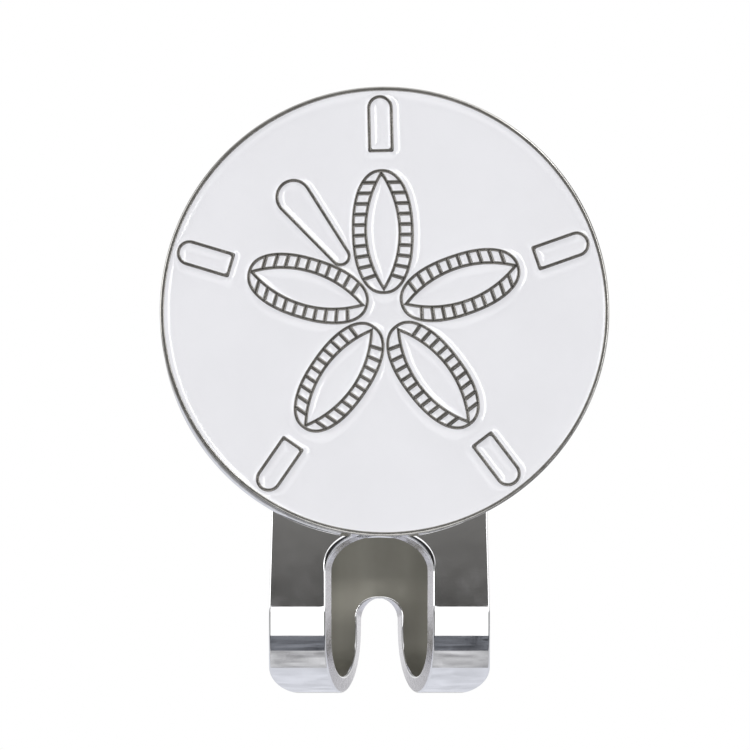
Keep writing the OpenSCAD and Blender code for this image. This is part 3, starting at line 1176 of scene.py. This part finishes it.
# Heights over the tent, from 0 below to 1 above, and their whiteness: white round the marker,
# a grey belt above it and a bright roof
TENT = (0.44, 1.0), (0.55, 1.0), (0.64, 0.62), (0.71, 0.3), (0.79, 0.32), (0.86, 1.0)


def card(name, corners, glow, tint=(1, 1, 1), other=None, fade=None, mottle=None):
    """A flat studio card, seen in reflections only. Its glow may fade to another one between two
    heights, or be mottled between the two at a scale that suits the bend."""
    piece = mesh_object(name, corners, [range(4)])
    f = Finish(name)
    f.set(Base_Color=(0, 0, 0, 1), Roughness=1.0, Emission_Color=(*tint, 1), Emission_Strength=glow)
    f.shader.inputs["Specular IOR Level"].default_value = 0.0
    if mottle:
        cloud = f.noise(mottle, 4, 0.7, where=f.stretched((SQUEEZE, 1, 1)), distortion=1.0)
        f.link(f.spread(cloud, MOTTLE_LOW, MOTTLE_HIGH, glow, other), f.shader.inputs["Emission Strength"])
    elif fade:
        split = f.add("ShaderNodeSeparateXYZ")
        f.link(f.place, split.inputs["Vector"])
        f.link(f.spread(split.outputs["Z"], *fade, glow, other), f.shader.inputs["Emission Strength"])
    piece.data.materials.append(f.material)
    piece.visible_camera = piece.visible_diffuse = piece.visible_shadow = False


def upright(left, right, y, bottom, top):
    """Corners of a card that stands at y."""
    return [(left, y, bottom), (right, y, bottom), (right, y, top), (left, y, top)]


def level(left, right, front, back, z):
    """Corners of a card that lies at z."""
    return [(left, front, z), (right, front, z), (right, back, z), (left, back, z)]


def soft_box(name, place, width, height, power):
    """A rectangular light that faces the marker."""
    light = bpy.data.lights.new(name, "AREA")
    light.shape = "RECTANGLE"
    light.size = width
    light.size_y = height
    light.energy = power
    lamp = bpy.data.objects.new(name, light)
    lamp.location = place
    lamp.rotation_euler = (Vector(LIGHTS_AIM) - Vector(place)).to_track_quat("-Z", "Y").to_euler()
    bpy.context.scene.collection.objects.link(lamp)


class MARKER_OT_stage(bpy.types.Operator):
    """Set the camera, the pale floor, the white tent and the studio's cards and lights"""

    bl_idname = "marker.stage"
    bl_label = "Stage"

    def execute(self, context):
        scene, stage = context.scene, context.scene.marker_stage
        scene.view_settings.view_transform = "Standard"
        self.set_camera(scene, stage)
        self.set_tent(scene, stage)
        self.lay_floor(stage)
        # The dark that the clip's front mirrors, lighter towards the top
        card("dark_card", upright(-0.6, 0.26, -0.9, -0.1, 0.35), 0.078, (1, 0.98, 0.94),
             other=0.25, fade=(-0.032, -0.004))
        # A white card just in front of the bend
        card("white_card", upright(-0.03, 0.03, -0.15, -0.126, -0.008), 1.5)
        # Mottled cards under the bend, darkest at the front
        card("low_card", level(-0.2, 0.2, -0.143, -0.0665, -0.12), 0.02, (0.86, 0.9, 1),
             other=0.36, mottle=34)
        card("low_grey", level(-0.3, 0.3, -0.0665, -0.004, -0.121), 0.3, (0.98, 0.98, 1),
             other=0.95, mottle=30)
        card("low_blue", level(-0.4, 0.4, -0.004, 0.35, -0.122), 0.78, (0.91, 0.93, 1),
             other=1.0, mottle=16)
        # Dark wings beside the white card
        for side in (-1, 1):
            card("low_wing", upright(side * 0.03, side * 0.3, -0.12, -0.14, -0.02), 0.03)
        # A bright strip far to the right, for glints on the edges
        card("glint_card", upright(0.28, 0.4, -0.9, -0.2, 0.5), 7.0)
        soft_box("key", (0.45, -0.7, 0.6), 0.4, 0.4, 1.8)
        soft_box("fill", (-0.6, -0.5, 0.2), 0.4, 0.5, 1.5)
        return {"FINISHED"}

    def set_camera(self, scene, stage):
        """A long lens, square on the coin's face."""
        lens = bpy.data.cameras.new("camera")
        lens.lens = lens.sensor_width * stage.view_distance / stage.view_width
        lens.clip_start = 0.01
        camera = bpy.data.objects.new("camera", lens)
        camera.location = (stage.view_x, COIN_LOW.y - stage.view_distance, stage.view_z)
        camera.rotation_euler = (math.pi / 2, 0, 0)
        scene.collection.objects.link(camera)
        scene.camera = camera

    def set_tent(self, scene, stage):
        """The world's white tent with its grey belt."""
        world = bpy.data.worlds.new("tent")
        world.use_nodes = True
        tree = world.node_tree
        background = tree.nodes["Background"]
        place = tree.nodes.new("ShaderNodeTexCoord")
        split = tree.nodes.new("ShaderNodeSeparateXYZ")
        height = tree.nodes.new("ShaderNodeMapRange")
        belts = tree.nodes.new("ShaderNodeValToRGB")
        height.inputs["From Min"].default_value = -1
        ramp = belts.color_ramp
        for at, white in TENT:
            ramp.elements.new(at).color = (white, white, white, 1)
        ramp.elements[0].color = ramp.elements[-1].color = (1, 1, 1, 1)
        background.inputs["Strength"].default_value = stage.sky
        tree.links.new(place.outputs["Generated"], split.inputs["Vector"])
        tree.links.new(split.outputs["Z"], height.inputs["Value"])
        tree.links.new(height.outputs["Result"], belts.inputs["Fac"])
        tree.links.new(belts.outputs["Color"], background.inputs["Color"])
        scene.world = world

    def lay_floor(self, stage):
        """Pale paper under the clip."""
        corners = level(-FLOOR_HALF, FLOOR_HALF, -FLOOR_HALF, FLOOR_HALF, -BEND_RADIUS - stage.floor_drop)
        floor = mesh_object("floor", corners, [range(4)])
        paper = Finish("floor paper")
        paper.tint(paper.noise(30, 3), (0.82, 0.82, 0.83), (0.84, 0.84, 0.85))
        paper.set(Roughness=0.9)
        floor.data.materials.append(paper.material)


# ---------------------------------------------------------------- panel and run

STEPS = ("stage", "clip", "magnet", "coin_metal", "enamel")


class MARKER_PT_panel(bpy.types.Panel):
    """Lists the steps that build the marker, and their settings"""

    bl_idname = "MARKER_PT_panel"
    bl_label = "Ball Marker"
    bl_space_type = "VIEW_3D"
    bl_region_type = "UI"
    bl_category = "Ball Marker"

    def draw(self, context):
        layout = self.layout
        for step in STEPS:
            layout.operator(f"marker.{step}")
        for group in GROUPS:
            settings = getattr(context.scene, group)
            box = layout.box()
            for name in settings.__annotations__:
                box.prop(settings, name)


GROUPS = {
    "marker_clip": ClipSettings,
    "marker_coin": CoinSettings,
    "marker_finish": FinishSettings,
    "marker_stage": StageSettings,
}
CLASSES = (
    *GROUPS.values(), MARKER_OT_stage, MARKER_OT_clip, MARKER_OT_magnet, MARKER_OT_coin_metal,
    MARKER_OT_enamel, MARKER_PT_panel)


def register():
    for each in CLASSES:
        bpy.utils.register_class(each)
    for name, group in GROUPS.items():
        setattr(bpy.types.Scene, name, PointerProperty(type=group))


def unregister():
    for name in GROUPS:
        delattr(bpy.types.Scene, name)
    for each in reversed(CLASSES):
        bpy.utils.unregister_class(each)


def main():
    register()
    for step in STEPS:
        getattr(bpy.ops.marker, step)()


if __name__ == "__main__":
    main()
